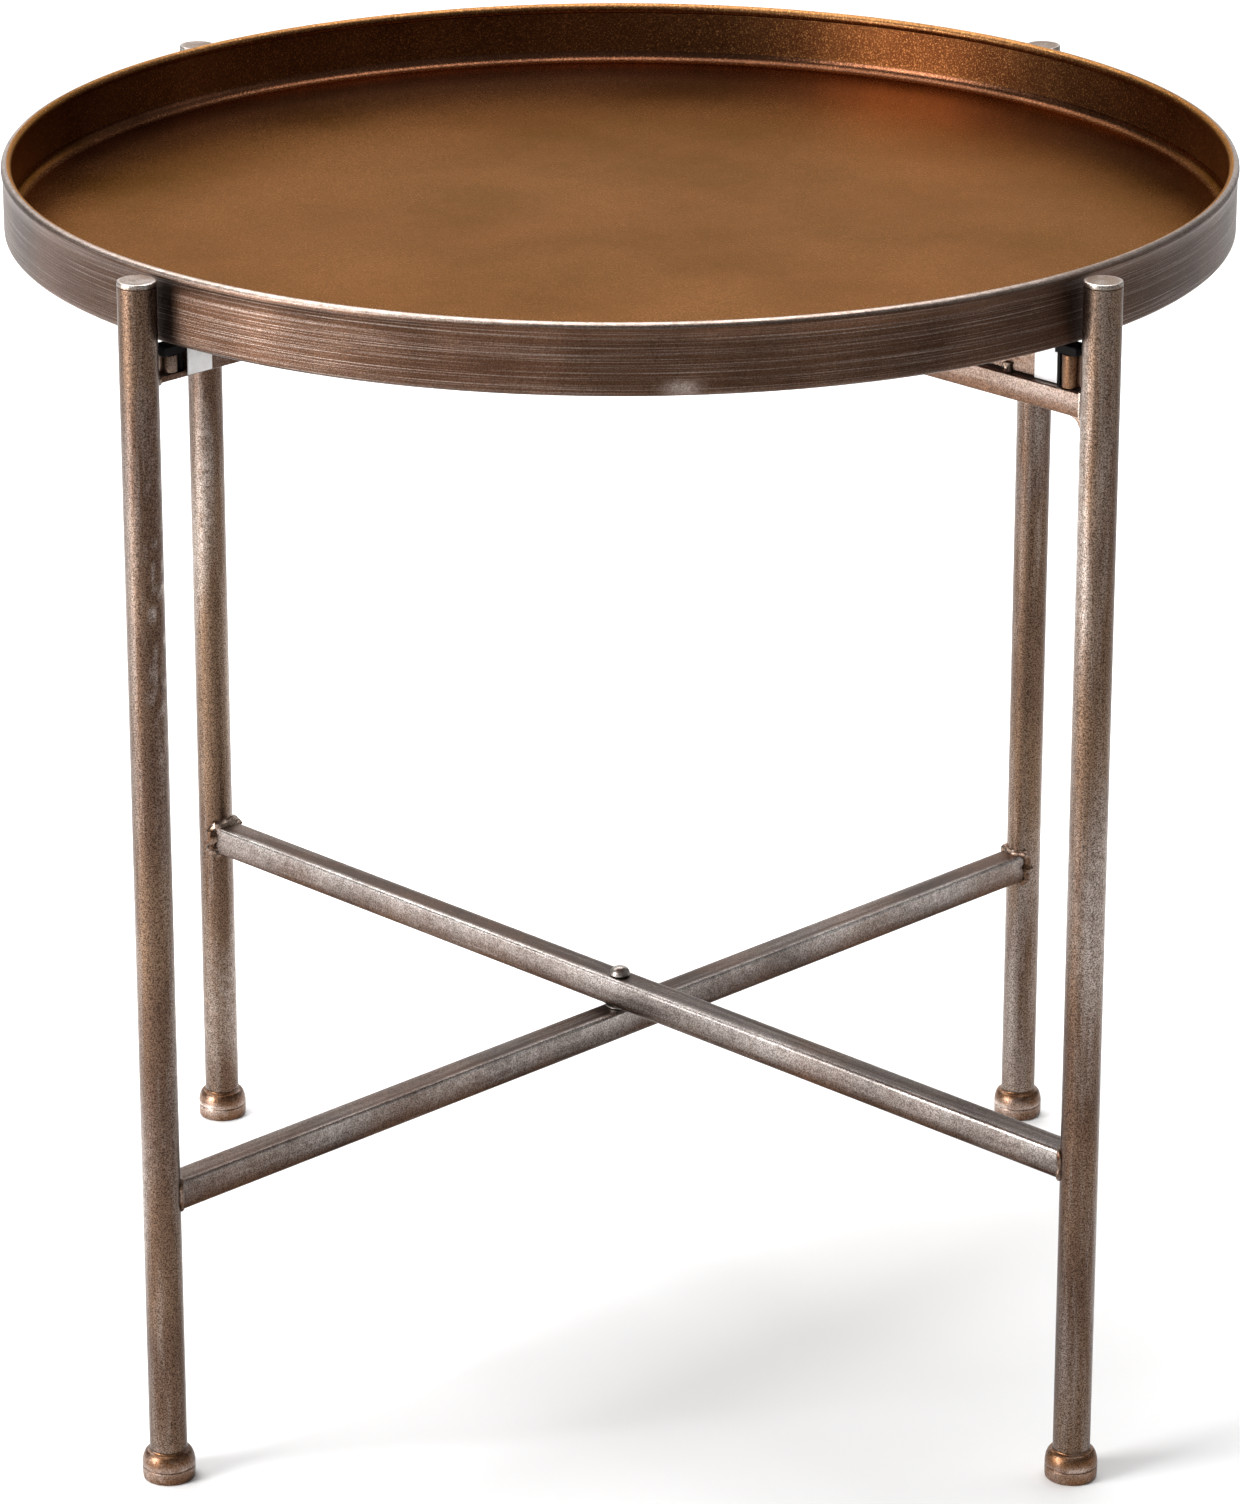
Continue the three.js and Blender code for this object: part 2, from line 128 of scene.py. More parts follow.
def feed(finish, socket, value):
    """Gives a socket a number or colour, or links it to another node's output."""
    if isinstance(value, bpy.types.NodeSocket):
        finish.node_tree.links.new(value, socket)
    else:
        socket.default_value = value


def surface(name, metallic):
    """A new finish and its shader, with the metal share set."""
    finish = bpy.data.materials.new(name)
    finish.use_nodes = True
    shader = finish.node_tree.nodes["Principled BSDF"]
    shader.inputs["Metallic"].default_value = metallic
    return finish, shader


def grain(finish, size, low, high, stretch=(1, 1, 1), turn=0.0, detail=3.0, rough=0.55):
    """Noise with marks of about a size in metres, clipped to between low and high of its range."""
    nodes = finish.node_tree.nodes
    place = nodes.new("ShaderNodeTexCoord").outputs["Object"]
    if turn:
        spin = nodes.new("ShaderNodeVectorRotate")
        spin.rotation_type = "Z_AXIS"
        spin.inputs["Angle"].default_value = -turn
        feed(finish, spin.inputs["Vector"], place)
        place = spin.outputs["Vector"]
    scale = nodes.new("ShaderNodeVectorMath")
    scale.operation = "MULTIPLY"
    feed(finish, scale.inputs[0], place)
    feed(finish, scale.inputs[1], Vector(stretch) / size)
    cloud = nodes.new("ShaderNodeTexNoise")
    feed(finish, cloud.inputs["Vector"], scale.outputs["Vector"])
    feed(finish, cloud.inputs["Scale"], 1.0)
    feed(finish, cloud.inputs["Detail"], detail)
    feed(finish, cloud.inputs["Roughness"], rough)
    return between(finish, cloud.outputs["Fac"], low, high, 0.0, 1.0)


def between(finish, value, low, high, start, end):
    """value moved from the range low to high into the range start to end."""
    spread = finish.node_tree.nodes.new("ShaderNodeMapRange")
    for socket, number in zip(spread.inputs, (value, low, high, start, end)):
        feed(finish, socket, number)
    return spread.outputs["Result"]


def work_out(finish, operation, first, second):
    """A sum of two numbers or outputs, kept between 0 and 1."""
    sums = finish.node_tree.nodes.new("ShaderNodeMath")
    sums.operation = operation
    sums.use_clamp = True
    feed(finish, sums.inputs[0], first)
    feed(finish, sums.inputs[1], second)
    return sums.outputs["Value"]


def colour_over(finish, share, under, over):
    """One colour laid over another by a share from 0 to 1."""
    mix = finish.node_tree.nodes.new("ShaderNodeMix")
    mix.data_type = "RGBA"
    feed(finish, mix.inputs[0], share)
    feed(finish, mix.inputs[6], under)
    feed(finish, mix.inputs[7], over)
    return mix.outputs[2]


def rubbed_here(finish):
    """The share that rub() noted at this point of the piece."""
    mark = finish.node_tree.nodes.new("ShaderNodeAttribute")
    mark.attribute_name = "rubbed"
    return mark.outputs["Fac"]


def emboss(finish, shader, height, depth, strength):
    """Raises the grain of a finish by a depth in metres."""
    bump = finish.node_tree.nodes.new("ShaderNodeBump")
    feed(finish, bump.inputs["Height"], height)
    feed(finish, bump.inputs["Distance"], depth)
    feed(finish, bump.inputs["Strength"], strength)
    feed(finish, shader.inputs["Normal"], bump.outputs["Normal"])


def tinted_by(finish, colour, shade):
    """A colour made lighter or darker by a shade around 1."""
    mix = finish.node_tree.nodes.new("ShaderNodeMix")
    mix.data_type = "RGBA"
    mix.blend_type = "MULTIPLY"
    feed(finish, mix.inputs[0], 1.0)
    feed(finish, mix.inputs[6], colour)
    feed(finish, mix.inputs[7], shade)
    return mix.outputs[2]


def lacquered_steel(name, dark, warm, steel, stretch, turn=0.0, brushed=0.5, dull=0.42,
                    thin=(0.47, 0.72), even=0.35, flecked=1.0):
    """Steel under a thin brown lacquer: cloudy, brushed along one way and rubbed bright."""
    finish, shader = surface(name, 1.0)
    clouds = grain(finish, 0.05, 0.38, 0.64, (1, 1, 0.5), detail=4.0)
    brush = grain(finish, 0.012, *thin, stretch, turn, detail=6.0, rough=0.7)
    fleck = grain(finish, 0.0006, 0.36, 0.64, detail=1.0)
    patches = grain(finish, 0.004, 0.36, 0.6, detail=5.0, rough=0.65)
    colour = colour_over(finish, clouds, paint(*dark), paint(*warm))
    streaks = work_out(finish, "MULTIPLY", brush, brushed)
    colour = colour_over(finish, streaks, colour, paint(*steel))
    # Rubbed wear shows bare steel here, and on the lip's crown this also paints a highlight.
    bare_and_lit = work_out(finish, "MULTIPLY", rubbed_here(finish), between(finish, patches, 0, 1, even, 1))
    colour = colour_over(finish, bare_and_lit, colour, paint(*steel))
    depth = 0.4 * flecked
    low_shade = (1 - depth, 1 - 1.06 * depth, 1 - 1.12 * depth, 1)
    high_shade = (1 + depth, 1 + 0.97 * depth, 1 + 0.9 * depth, 1)
    colour = tinted_by(finish, colour, colour_over(finish, fleck, low_shade, high_shade))
    feed(finish, shader.inputs["Base Color"], colour)
    gloss = work_out(finish, "MAXIMUM", streaks, bare_and_lit)
    feed(finish, shader.inputs["Roughness"], between(finish, gloss, 0, 1, dull, dull - 0.14))
    relief = work_out(finish, "ADD", work_out(finish, "MULTIPLY", fleck, 0.5), brush)
    emboss(finish, shader, relief, 0.00008, 0.6)
    return finish


def copper_paint(name, deep, middle, light, speck, speck_share, dull=0.24, clouded=0.5):
    """Copper paint with a fine grain, clouded where it was sprayed thin and thick."""
    finish, shader = surface(name, 1.0)
    shader.inputs["Specular Tint"].default_value = (0.85, 0.62, 0.46, 1)
    broad = grain(finish, 0.16, 0.36, 0.64, detail=1.0)
    cloudy = grain(finish, 0.06, 0.34, 0.7, detail=5.0, rough=0.6)
    fleck = grain(finish, 0.0009, 0.35, 0.66, detail=2.0)
    glint = grain(finish, 0.0007, 0.55, 0.7, detail=1.0)
    colour = colour_over(finish, broad, paint(*deep), paint(*middle))
    light_share = work_out(finish, "MULTIPLY", cloudy, clouded)
    colour = colour_over(finish, light_share, colour, paint(*light))
    # The rubbed share paints wear, and on the floor's fillet and the lip's crown also a painted highlight.
    worn = work_out(finish, "MULTIPLY", rubbed_here(finish), between(finish, fleck, 0, 1, 0.4, 1))
    colour = colour_over(finish, worn, colour, paint(*speck))
    colour = colour_over(finish, work_out(finish, "MULTIPLY", glint, speck_share), colour, paint(*speck))
    shade = colour_over(finish, fleck, (0.74, 0.73, 0.72, 1), (1.24, 1.22, 1.18, 1))
    feed(finish, shader.inputs["Base Color"], tinted_by(finish, colour, shade))
    feed(finish, shader.inputs["Roughness"], between(finish, fleck, 0, 1, dull, dull + 0.04))
    emboss(finish, shader, fleck, 0.00006, 0.5)
    return finish


GAP = 0.0003
wall_low, wall_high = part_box("tray_wall")
tray_radius = wall_high.x
tray_bottom = wall_low.z
table_height = wall_high.z
SHEET = 0.0008
LIP = 0.0023
WALL_INSET = 0.0006
FLANGE = 0.013
CORNER = 0.0016
ROLL_END = 262
OUTSIDE_STEP = 0.0018
INSIDE_STEP = 0.003
WALL_SEGMENTS = 720
HOLLOW_DEPTH = 0.00022
RIPPLE_DEPTH = 0.00005
DENT_ANGLE = math.radians(-84.7)
DENT_HEIGHT = 0.0032
DENT_TALL = 0.0026
DENT_WIDE = 0.0042
DENT_RUB_WIDE = 0.006
DENT_DEPTH = 0.00035
SEAM_ANGLE = math.radians(-100.5)
SEAM_WIDE = 0.0016
SEAM_DEPTH = 0.00025

outside = tray_radius - WALL_INSET
inside = outside - SHEET
lip_radius = tray_radius - LIP
lip_height = table_height - LIP
leave = math.degrees(math.acos((outside - lip_radius) / LIP))
inner_leave = math.degrees(math.acos((inside - lip_radius) / (LIP - SHEET)))
wall_outline = [
    (outside - FLANGE, tray_bottom),
    *arc(outside - CORNER, tray_bottom + CORNER, CORNER, -90, 0, 5),
    *[(outside, tray_bottom + CORNER + OUTSIDE_STEP * step) for step in range(1, 12)],
    *arc(lip_radius, lip_height, LIP, -leave, ROLL_END, 22),
    *arc(lip_radius, lip_height, LIP - SHEET, ROLL_END, -inner_leave, 14),
    *[(inside, lip_height - INSIDE_STEP - INSIDE_STEP * step) for step in range(6)],
    *arc(outside - CORNER, tray_bottom + CORNER, CORNER - SHEET, 0, -90, 4),
    (outside - FLANGE, tray_bottom + SHEET),
]


def at_dent(point, wide):
    """1 in the middle of the small dent low on the front of the wall, and 0 well away from it."""
    across = (math.atan2(point.y, point.x) - DENT_ANGLE) * tray_radius / wide
    up = (point.z - tray_bottom - DENT_HEIGHT) / DENT_TALL
    return math.exp(-across * across - up * up)


def beaten(point):
    """The wall's small hollows: it was rolled and dressed by hand, so it is never quite round."""
    radius = math.hypot(point.x, point.y)
    if radius < outside - CORNER:
        return point
    hollow = HOLLOW_DEPTH * (0.5 + 0.5 * noise.noise(point * 9))
    hollow += RIPPLE_DEPTH * abs(noise.noise(point * 60))
    hollow += DENT_DEPTH * at_dent(point, DENT_WIDE)
    seam = (math.atan2(point.y, point.x) - SEAM_ANGLE) * tray_radius / SEAM_WIDE
    if point.z > lip_height - LIP:
        hollow += SEAM_DEPTH * math.exp(-seam * seam)
    return Vector((point.x * (1 - hollow / radius), point.y * (1 - hollow / radius), point.z))


wall_vertices, wall_faces = turned(wall_outline, WALL_SEGMENTS, closed=True)
wall_shape = ([beaten(point) for point in wall_vertices], wall_faces)
wall_finish = lacquered_steel(
    "brushed_tray_outside", (62, 43, 32), (84, 60, 46), (172, 158, 150), (0.12, 0.12, 28), brushed=0.55,
    thin=(0.51, 0.72), even=0.6, flecked=0.7,
)
tray_wall = make_piece("rolled_tray_wall", wall_shape, wall_finish, "tray", ["tray_wall"], 50)
copper_wall_finish = copper_paint(
    "copper_painted_wall", (68, 40, 24), (88, 55, 33), (122, 84, 52), (212, 160, 100), 0.45, dull=0.36,
    clouded=0.6,
)
tray_wall.data.materials.append(copper_wall_finish)
for face in tray_wall.data.polygons:
    middle = face.center
    inward = face.normal.x * middle.x + face.normal.y * middle.y < 0
    if inward and middle.z > tray_bottom + SHEET:
        face.material_index = 1


CROWN_RUB_AND_HIGHLIGHT = (0.0002, 0.0018)
CROWN_INNER = (-0.0012, 0.0006)
CROWN_CLEAR = 0.0002
CORNER_RUB = 0.0022


def wall_wear_and_crown_highlight(point):
    """The lip is rubbed along its crown and made lighter there as a painted highlight, and the bottom corner
    is rubbed here and there.
    """
    radius = math.hypot(point.x, point.y)
    # Painted highlight: the crown is made lighter, partly as wear and partly in place of the light that the
    # top of the roll catches.
    crown = fade(point.z, lip_height + CROWN_RUB_AND_HIGHLIGHT[0], lip_height + CROWN_RUB_AND_HIGHLIGHT[1])
    crown *= 0.8 - 0.65 * fade(lip_radius - radius, *CROWN_INNER)
    if radius < lip_radius - CROWN_CLEAR and point.z < lip_height:
        crown = 0.0
    corner = 0.35 * fade(tray_bottom + CORNER_RUB - point.z, 0, 0.002) * (0.5 + noise.noise(point * 30))
    return max(crown, corner, 0.9 * at_dent(point, DENT_RUB_WIDE))


rub(tray_wall, wall_wear_and_crown_highlight)


# Tray floor
# A disc of sheet steel that lies on the wall's turned-in edge, dressed up to the wall in a small
# fillet. Painted satin copper, with the fine grain and soft clouds of sprayed metal paint.

floor_low, floor_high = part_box("tray_floor")
floor_edge = floor_high.x
FILLET = 0.005
FILLET_EDGE = 0.0004
FLOOR_CHAMFER = 0.0008
FLOOR_RINGS = 48
FLOOR_SEGMENTS = 360
WAVE_HEIGHT = 0.00005
WAVE_START = 0.03
ON_THE_FLAT = 1e-6

floor_outline = [
    (0, floor_low.z),
    (floor_edge - FLOOR_CHAMFER, floor_low.z),
    (floor_edge, floor_low.z + FLOOR_CHAMFER),
    (floor_edge, floor_high.z + FILLET - FILLET_EDGE),
    *arc(floor_edge - FILLET, floor_high.z + FILLET, FILLET, -8, -90, 12),
    *[((floor_edge - FILLET) * (FLOOR_RINGS - ring) / FLOOR_RINGS, floor_high.z)
      for ring in range(1, FLOOR_RINGS + 1)],
]


def sheet_waves(point):
    """The flat of the floor rises and falls very slightly, as thin sheet does."""
    radius = math.hypot(point.x, point.y)
    if point.z < floor_high.z - ON_THE_FLAT or radius > floor_edge - FILLET - ON_THE_FLAT:
        return point
    swell = WAVE_HEIGHT * (1 + noise.noise(point * 14)) * fade(floor_edge - radius, FILLET, WAVE_START)
    return point + Vector((0, 0, swell))


floor_vertices, floor_faces = turned(floor_outline, FLOOR_SEGMENTS)
floor_finish = copper_paint(
    "copper_painted_floor", (48, 28, 17), (74, 45, 32), (102, 65, 46), (160, 116, 82), 0.25, clouded=0.85,
)
tray_floor = make_piece(
    "pressed_tray_floor", ([sheet_waves(point) for point in floor_vertices], floor_faces),
    floor_finish, "tray", ["tray_floor"], 50,
)


def fillet_painted_highlight(point):
    """Paints a thin bright line on the fillet against the wall: a painted highlight where the fillet catches
    the light.
    """
    height = point.z - floor_high.z
    return 0.3 * fade(height, 0.0, 0.0001) * (1 - fade(height, 0.0004, 0.0012))


# Painted highlight along the floor's fillet, carried in the rubbed share.
rub(tray_floor, fillet_painted_highlight)


# Lip wire
# Bare drawn wire inside the rolled lip, which stiffens the edge of the tray. The sheet closes round
# it, so it only shows from underneath in the gap where the roll meets the wall.

def bare_steel(name, steel=(150, 144, 138), smut=(84, 76, 70)):
    """Uncoated steel with drawing marks and smut left in them."""
    finish, shader = surface(name, 1.0)
    smears = grain(finish, 0.006, 0.4, 0.66, detail=5.0)
    marks = grain(finish, 0.0006, 0.35, 0.7, (1, 1, 0.2), detail=3.0)
    colour = colour_over(finish, smears, paint(*steel), paint(*smut))
    colour = colour_over(finish, work_out(finish, "MULTIPLY", marks, 0.3), colour, paint(210, 206, 200))
    feed(finish, shader.inputs["Base Color"], colour)
    feed(finish, shader.inputs["Roughness"], between(finish, smears, 0, 1, 0.26, 0.5))
    emboss(finish, shader, marks, 0.00005, 0.5)
    return finish


wire_finish = bare_steel("drawn_wire")
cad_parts["tray_lip_wire"].data.materials.clear()
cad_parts["tray_lip_wire"].data.materials.append(wire_finish)


# Legs
# Four lengths of round steel tube, open at both ends. Brown lacquer over steel that was rubbed
# back while it dried, so that each leg has warm and silvery stretches along it.

CORNERS = {"front_left": "a", "back_right": "a", "front_right": "b", "back_left": "b"}
LEG_WALL = 0.0012
LEG_SEGMENTS = 64
leg_low, leg_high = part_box("leg_front_right")
leg_radius = (leg_high.x - leg_low.x) / 2
SCUFF_HEIGHT = 0.385
SCUFF_LENGTH = 0.06


def leg_place(corner):
    """The middle of a leg on the floor."""
    low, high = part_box("leg_" + corner)
    return Vector(((low.x + high.x) / 2, (low.y + high.y) / 2, 0))


def moved(shape, offset):
    """A shape set down in another place."""
    vertices, faces = shape
    return [point + offset for point in vertices], faces


def leg_wear(corner, middle):
    """Rubs down the outer side of each leg, and the scuffed stretch of the front left one."""
    def worn(point):
        rubs = 0.5 * fade(noise.noise(Vector((point.x * 60, point.y * 60, point.z * 9 + 3))), 0.12, 0.6)
        if corner != "front_left":
            return rubs
        stretch = math.exp(-((point.z - SCUFF_HEIGHT) / SCUFF_LENGTH) ** 2)
        side = fade(point.x - middle.x, -0.002, 0.005)
        nicks = fade(noise.noise(Vector((point.x * 260, point.y * 260, point.z * 150))), 0.08, 0.4)
        return max(rubs, 0.5 * stretch * side * nicks)
    return worn


LEG_RINGS = 160
leg_length = leg_high.z - leg_low.z
leg_outline = [
    (leg_radius - LEG_WALL, leg_low.z),
    *[(leg_radius, leg_low.z + leg_length * ring / LEG_RINGS) for ring in range(LEG_RINGS + 1)],
    (leg_radius - LEG_WALL, leg_high.z),
]
leg_shape = turned(leg_outline, LEG_SEGMENTS, closed=True)
leg_finish = lacquered_steel(
    "lacquered_leg_tube", (82, 64, 54), (104, 84, 69), (170, 162, 158), (1, 1, 0.06), brushed=0.45,
    flecked=1.4, dull=0.36,
)
for corner, letter in CORNERS.items():
    middle = leg_place(corner)
    leg = make_piece(
        "tube_leg_" + corner, moved(leg_shape, middle), leg_finish, "frame_" + letter,
        ["leg_" + corner],
    )
    rub(leg, leg_wear(corner, middle))


# Leg caps
# A flat steel disc with a plug is driven into the top of each leg and ground flush. Its edge is
# worn to bright metal all the way round.

cap_low, cap_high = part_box("leg_cap_front_right")
CAP_THICKNESS = 0.002
CAP_EDGE = 0.0006
CAP_HOLLOW = 0.00015
plug_radius = leg_radius - LEG_WALL - GAP
cap_underside = cap_high.z - CAP_THICKNESS
cap_outline = [
    (0, cap_low.z),
    (plug_radius, cap_low.z),
    (plug_radius, cap_underside),
    (leg_radius, cap_underside),
    *arc(leg_radius - CAP_EDGE, cap_high.z - CAP_EDGE, CAP_EDGE, 0, 90, 5),
    (leg_radius * 0.8, cap_high.z - 0.00004),
    (leg_radius * 0.5, cap_high.z - 0.00012),
    (0, cap_high.z - CAP_HOLLOW),
]
cap_shape = turned(cap_outline, LEG_SEGMENTS)
cap_finish = lacquered_steel(
    "ground_leg_cap", (96, 78, 66), (112, 92, 76), (216, 212, 210), (1, 1, 1), brushed=0.35, dull=0.38,
)


def cap_wear(middle):
    """Rubs the edge of a cap all the way round, and more at the front."""
    def worn(point):
        radius = math.hypot(point.x - middle.x, point.y - middle.y)
        edge = fade(radius, leg_radius * 0.86, leg_radius * 0.95)
        front = 0.55 + 0.45 * fade(middle.y - point.y, -0.004, 0.006)
        return 0.6 * edge * front * fade(point.z, cap_high.z - 0.0013, cap_high.z - 0.0004)
    return worn


for corner, letter in CORNERS.items():
    middle = leg_place(corner)
    cap = make_piece(
        "ground_cap_" + corner, moved(cap_shape, middle), cap_finish, "frame_" + letter,
        ["leg_cap_" + corner],
    )
    rub(cap, cap_wear(middle))


# Feet
# Turned steel feet, plugged into the leg tubes. A round shoulder swells out of the leg and rolls
# over onto a short drum, and the crease between them is rubbed to copper and silver.

foot_low, foot_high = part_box("foot_front_right")
foot_radius = (foot_high.x - foot_low.x) / 2
FOOT_HEIGHT = 0.0135
DRUM_HEIGHT = 0.0056
NECK_FILLET = 0.0007
SOLE_EDGE = 0.0009
CREASE = 0.0006
CREASE_WIDE = 0.0014
SHOULDER_STEPS = 12
shoulder_rise = FOOT_HEIGHT - NECK_FILLET - DRUM_HEIGHT - CREASE
shoulder_reach = foot_radius - leg_radius - NECK_FILLET
foot_outline = [
    (0, 0),
    *arc(foot_radius - SOLE_EDGE - 0.0002, SOLE_EDGE, SOLE_EDGE, -90, -20, 4),
    (foot_radius - 0.0001, 0.002),
    (foot_radius, DRUM_HEIGHT - CREASE),
    (foot_radius - 0.0001, DRUM_HEIGHT - 0.0001),
    (foot_radius - 0.0004, DRUM_HEIGHT + 0.0001),
    (foot_radius - 0.00035, DRUM_HEIGHT + 0.0003),
    (foot_radius - 0.00005, DRUM_HEIGHT + 0.0005),
    *[(leg_radius + NECK_FILLET + shoulder_reach * math.cos(angle),
       DRUM_HEIGHT + CREASE + shoulder_rise * math.sin(angle))
      for angle in [math.pi / 2 * step / SHOULDER_STEPS for step in range(SHOULDER_STEPS)]],
    *arc(leg_radius + NECK_FILLET, FOOT_HEIGHT, NECK_FILLET, 270, 180, 4),
    (plug_radius, FOOT_HEIGHT),
    (plug_radius, foot_high.z),
    (0, foot_high.z),
]
foot_shape = turned(foot_outline, LEG_SEGMENTS)
foot_finish = lacquered_steel(
    "turned_foot", (88, 64, 50), (122, 88, 62), (226, 212, 204), (1, 1, 1), brushed=0.3, dull=0.38,
)


def foot_wear(point):
    """Rubs the crease between the shoulder and the drum, in patches."""
    crease = math.exp(-((point.z - DRUM_HEIGHT - 0.0008) / CREASE_WIDE) ** 2)
    patch = 0.25 + 0.75 * fade(noise.noise(point * 70), -0.1, 0.35)
    return crease * patch


for corner, letter in CORNERS.items():
    foot = make_piece(
        "turned_foot_" + corner, moved(foot_shape, leg_place(corner)), foot_finish, "frame_" + letter,
        ["foot_" + corner],
    )
    rub(foot, foot_wear)


# Lower bars
# Two lengths of square tube with rounded corners, coped to fit round the legs, one in each frame.
# They cross on the rivet. The lacquer is worn to bright steel along the upper corners.

def corner_turn(corner):
    """The way that the end of a bar at a corner points."""
    place = leg_place(corner)
    return math.atan2(place.y, place.x)


frame_a_turn = corner_turn("back_right")
frame_b_turn = corner_turn("front_right")
leg_circle = leg_place("front_right").length
LOWER_CORNER = 0.0016
LOWER_WALL = 0.0012
CORNER_STEPS = 5
FLAT_STEPS = 6
BAR_STATIONS = 60


def section(width, low, high, corner):
    """(across, bottom, top) of a rounded rectangle, column by column."""
    columns = []
    for step in range(CORNER_STEPS + 1):
        angle = math.pi / 2 * step / CORNER_STEPS
        across = -width / 2 + corner * (1 - math.cos(angle))
        ease = corner * (1 - math.sin(angle))
        columns.append((across, low + ease, high - ease))
    for step in range(1, FLAT_STEPS):
        across = (width / 2 - corner) * (2 * step / FLAT_STEPS - 1)
        columns.append((across, low, high))
    return columns + [(-across, bottom, top) for across, bottom, top in columns[CORNER_STEPS::-1]]


def length_of_bar(columns, ends, bore=None, stations=BAR_STATIONS):
    """A bar, or a tube if it has a bore, along X. ends says where it starts and stops."""
    def loop(cols):
        return [(y, low) for y, low, high in cols] + [(y, high) for y, low, high in reversed(cols)]

    vertices = []
    loops = [loop(columns)] + ([loop(bore)] if bore else [])
    count = len(loops[0])
    for outline in loops:
        for step in range(stations + 1):
            for across, height in outline:
                start, stop = ends(across)
                vertices.append(Vector((start + (stop - start) * step / stations, across, height)))
    faces = []
    for number in range(len(loops)):
        first = number * count * (stations + 1)
        for step in range(stations):
            for here in range(count):
                after = (here + 1) % count
                near = first + step * count
                corners = [near + here, near + count + here, near + count + after, near + after]
                faces.append(corners[::-1] if number == 0 else corners)
    last = count * stations
    if bore:
        second = count * (stations + 1)
        for here in range(count):
            after = (here + 1) % count
            faces.append([here, second + here, second + after, after])
            faces.append([last + after, second + last + after, second + last + here, last + here])
    else:
        columns_across = count // 2
        for here in range(columns_across - 1):
            corners = [here, here + 1, count - 2 - here, count - 1 - here]
            faces.append(corners[::-1])
            faces.append([last + corner for corner in corners])
    return vertices, faces


def coped(across):
    """Where a bar ends so that it fits round the legs."""
    reach = leg_circle - math.sqrt((leg_radius + GAP) ** 2 - across ** 2)
    return -reach, reach


def spun(shape, angle):
    """A shape turned about Z."""
    vertices, faces = shape
    spin = Matrix.Rotation(angle, 3, "Z")
    return [spin @ point for point in vertices], faces


SLIVER = 1e-6


def cut_away(piece, shape):
    """Cuts a closed shape out of a piece, and clears the slivers that the cut leaves."""
    vertices, faces = shape
    mesh = bpy.data.meshes.new("cutter")
    mesh.from_pydata([tuple(point) for point in vertices], [], faces)
    cutter = bpy.data.objects.new("cutter", mesh)
    bpy.context.scene.collection.objects.link(cutter)
    cut = piece.modifiers.new("cut", "BOOLEAN")
    cut.operation = "DIFFERENCE"
    cut.solver = "EXACT"
    cut.object = cutter
    with bpy.context.temp_override(object=piece, active_object=piece):
        bpy.ops.object.modifier_apply(modifier=cut.name)
    bpy.data.objects.remove(cutter)
    cleaned = bmesh.new()
    cleaned.from_mesh(piece.data)
    bmesh.ops.triangulate(cleaned, faces=[face for face in cleaned.faces if len(face.verts) > 4])
    bmesh.ops.dissolve_degenerate(cleaned, dist=SLIVER, edges=cleaned.edges[:])
    cleaned.to_mesh(piece.data)
    cleaned.free()


DRILL_REACH = 0.1
ROUND_STEPS = 48


def drill(piece, radius):
    """Drills a hole down through the middle of a bar for the rivet."""
    cut_away(piece, turned([(0, -DRILL_REACH), (radius, -DRILL_REACH), (radius, 1), (0, 1)], ROUND_STEPS))


def bar_wear(turn, top, width, patchy):
    """Bright wear along both upper corners of a bar, stronger on one than the other."""
    def worn(point):
        local = Matrix.Rotation(-turn, 3, "Z") @ point
        edge = 1 - fade(width / 2 - abs(local.y), 0.0007, 0.0022)
        upper = fade(local.z, top - 0.0026, top - 0.0006)
        side = 1.0 if local.y < 0 else 0.45
        broken = 0.85 + 0.7 * noise.noise(Vector((local.x * 26, local.y * 30, patchy)))
        return edge * upper * side * broken
    return worn


LOWER_HOLE = 0.0033
lower_bars = (
    ("a", frame_a_turn, 2.0),
    ("b", frame_b_turn, 7.0),
)
for letter, turn, patchy in lower_bars:
    low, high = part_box("lower_bar_" + letter)
    side = high.z - low.z
    bore = section(side - 2 * LOWER_WALL, low.z + LOWER_WALL, high.z - LOWER_WALL, LOWER_CORNER - LOWER_WALL)
    bar_shape = length_of_bar(section(side, low.z, high.z, LOWER_CORNER), coped, bore)
    bar_finish = lacquered_steel(
        "lacquered_lower_bar_" + letter, (54, 37, 27), (78, 54, 38), (206, 200, 198), (0.05, 1, 1), turn,
        brushed=0.28, even=0.6, flecked=1.2,
    )
    bar = make_piece(
        "square_tube_bar_" + letter, spun(bar_shape, turn), bar_finish, "frame_" + letter,
        ["lower_bar_" + letter],
    )
    rub(bar, bar_wear(turn, high.z, side, patchy))
    drill(bar, LOWER_HOLE)


# Upper bars
# Two flat steel bars on edge under the tray, one in each frame, coped to the legs like the lower
# ones. The bar of frame A crosses over that of frame B and is sawn down to a neck at its ends.

UPPER_CORNER = 0.0008
UPPER_WIDTH = 0.008
UPPER_HOLE = 0.0023
NECK_END = 0.0212
NECK_HEIGHT = 0.0026
NECK_CORNER = 0.0012
SAW_OVERLAP = 0.01


def eased(outline, size):
    """An outline of (x, z) points with each corner rounded off."""
    points = []
    for here, corner in enumerate(outline):
        before = outline[here - 1]
        after = outline[(here + 1) % len(outline)]
        ends = []
        for other in (before, after):
            length = math.dist(corner, other)
            ease = min(size, 0.45 * length)
            ends.append([at + (to - at) * ease / length for at, to in zip(corner, other)])
        middle = [0.5 * at + 0.25 * (one + two) for at, one, two in zip(corner, *ends)]
        points += [tuple(ends[0]), tuple(middle), tuple(ends[1])]
    return points


